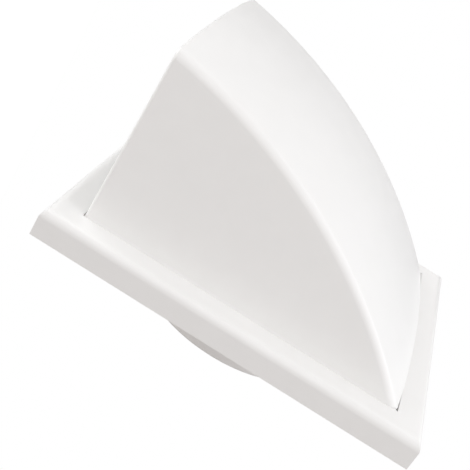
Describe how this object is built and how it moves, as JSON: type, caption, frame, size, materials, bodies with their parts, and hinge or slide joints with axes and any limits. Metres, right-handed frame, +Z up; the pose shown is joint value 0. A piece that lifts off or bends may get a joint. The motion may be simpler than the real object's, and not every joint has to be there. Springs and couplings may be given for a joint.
{
  "type": "cowled wall duct cap",
  "caption": "Square wall plate with a deep crowned hood over the end of a round duct, open downwards, with a spigot behind and a gravity flap that stops back-draught.",
  "frame": {"origin": "on the duct axis, in the wall plane at the back of the plate", "axes": "+X to the right seen from outside, +Y into the wall along the spigot, +Z up; the hood's mouth faces -Z"},
  "size_m": [0.18, 0.1244, 0.18],
  "materials": {
    "plate_plastic": "satin moulded white",
    "hood_plastic": "satin moulded white",
    "flap_plastic": "satin moulded white"
  },
  "bodies": {
    "cap": {"wall_plate": "plate_plastic", "hood": "hood_plastic"},
    "flap": {"backdraught_flap": "flap_plastic"}
  },
  "joints": [
    {"name": "flap_hinge", "type": "hinge", "parent": "cap", "child": "flap", "pos_m": [0, -0.0055, 0.054], "axis": [-1, 0, 0], "range_deg": [0, 40]}
  ]
}
